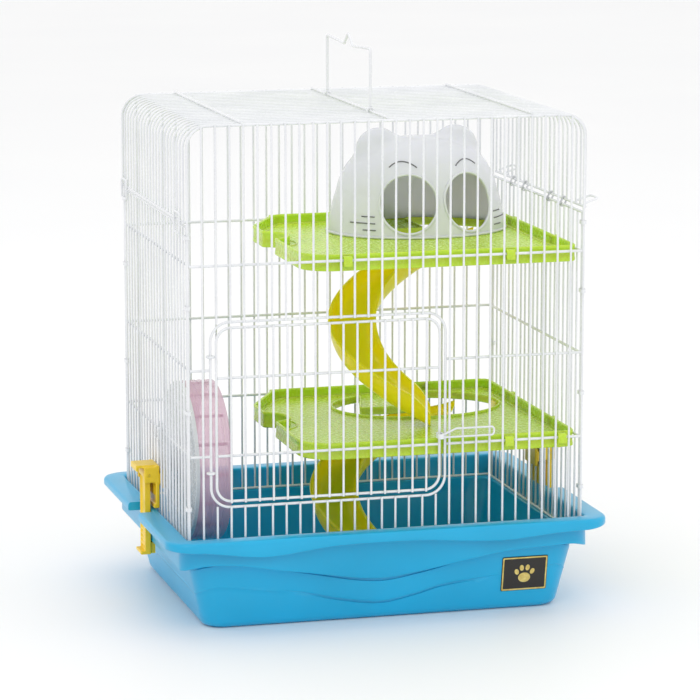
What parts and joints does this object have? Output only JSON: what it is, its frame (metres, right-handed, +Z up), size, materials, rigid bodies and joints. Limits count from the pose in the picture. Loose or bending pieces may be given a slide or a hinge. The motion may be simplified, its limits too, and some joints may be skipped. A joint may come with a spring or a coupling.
{
  "type": "hamster cage",
  "caption": "Two-storey wire hamster cage on a deep tray, with hinged lid and door, carrying handle, shelves, curved slides, a cat-shaped house and a running wheel.",
  "frame": {"origin": "centre of the tray's underside, on the surface the cage stands on", "axes": "+Z up, +X to the right seen from the door side, -Y out of the front door"},
  "size_m": [0.369, 0.282, 0.4663],
  "materials": {
    "tray_blue": "glossy moulded blue plastic",
    "badge": "glossy black plate with a gold edge",
    "white_wire": "glossy white powder coat",
    "zinc": "zinc plated steel",
    "yellow_plastic": "glossy yellow plastic",
    "yellow_slide": "glossy yellow plastic",
    "green_plastic": "translucent lime green plastic",
    "house_plastic": "translucent pale lavender plastic",
    "trim_grey": "grey marks",
    "wheel_white": "glossy pale plastic",
    "wheel_pink": "translucent pink plastic"
  },
  "bodies": {
    "cage": {"tray": "tray_blue", "badge_plate": "badge", "front_panel": "white_wire", "back_panel": "white_wire", "left_panel": "white_wire", "right_panel": "white_wire", "corner_clips": "zinc", "latch_clip_left": "yellow_plastic", "latch_clip_right": "yellow_plastic", "latch_pin_left": "zinc", "latch_pin_right": "zinc", "lower_shelf": "green_plastic", "upper_shelf": "green_plastic", "lower_slide": "yellow_slide", "upper_slide": "yellow_slide", "house": "house_plastic", "house_trim": "trim_grey", "wheel_axle": "zinc", "wheel_bracket": "wheel_white", "wheel_cap": "wheel_white"},
    "lid": {"lid": "white_wire", "lid_hinge_rings": "zinc", "lid_loops": "white_wire"},
    "handle": {"carry_handle": "white_wire"},
    "door": {"front_door": "white_wire"},
    "door_latch": {"door_latch": "white_wire"},
    "left_latch": {"latch_lever_left": "yellow_plastic"},
    "right_latch": {"latch_lever_right": "yellow_plastic"},
    "wheel": {"wheel_disc": "wheel_white", "wheel_track": "wheel_pink", "wheel_treads": "wheel_pink"}
  },
  "joints": [
    {"name": "lid_hinge", "type": "hinge", "parent": "cage", "child": "lid", "pos_m": [0.16385, 0, 0.3275], "axis": [0, 1, 0], "range_deg": [0, 110]},
    {"name": "handle_swing", "type": "hinge", "parent": "lid", "child": "handle", "pos_m": [0, 0, 0.4088], "axis": [0, 1, 0], "range_deg": [-85, 85]},
    {"name": "door_hinge", "type": "hinge", "parent": "cage", "child": "door", "pos_m": [-0.146, -0.12065, 0.1766], "axis": [0, 0, -1], "range_deg": [0, 110]},
    {"name": "door_latch_hinge", "type": "hinge", "parent": "door", "child": "door_latch", "pos_m": [0.043, -0.12065, 0.151], "axis": [0, 0, -1], "range_deg": [0, 100]},
    {"name": "left_latch_hinge", "type": "hinge", "parent": "cage", "child": "left_latch", "pos_m": [-0.1736, 0, 0.107], "axis": [0, 1, 0], "range_deg": [0, 80]},
    {"name": "right_latch_hinge", "type": "hinge", "parent": "cage", "child": "right_latch", "pos_m": [0.1736, 0, 0.107], "axis": [0, -1, 0], "range_deg": [0, 80]},
    {"name": "wheel_spin", "type": "hinge", "parent": "cage", "child": "wheel", "pos_m": [-0.145, -0.004, 0.1165], "axis": [1, 0, 0], "continuous": true}
  ]
}
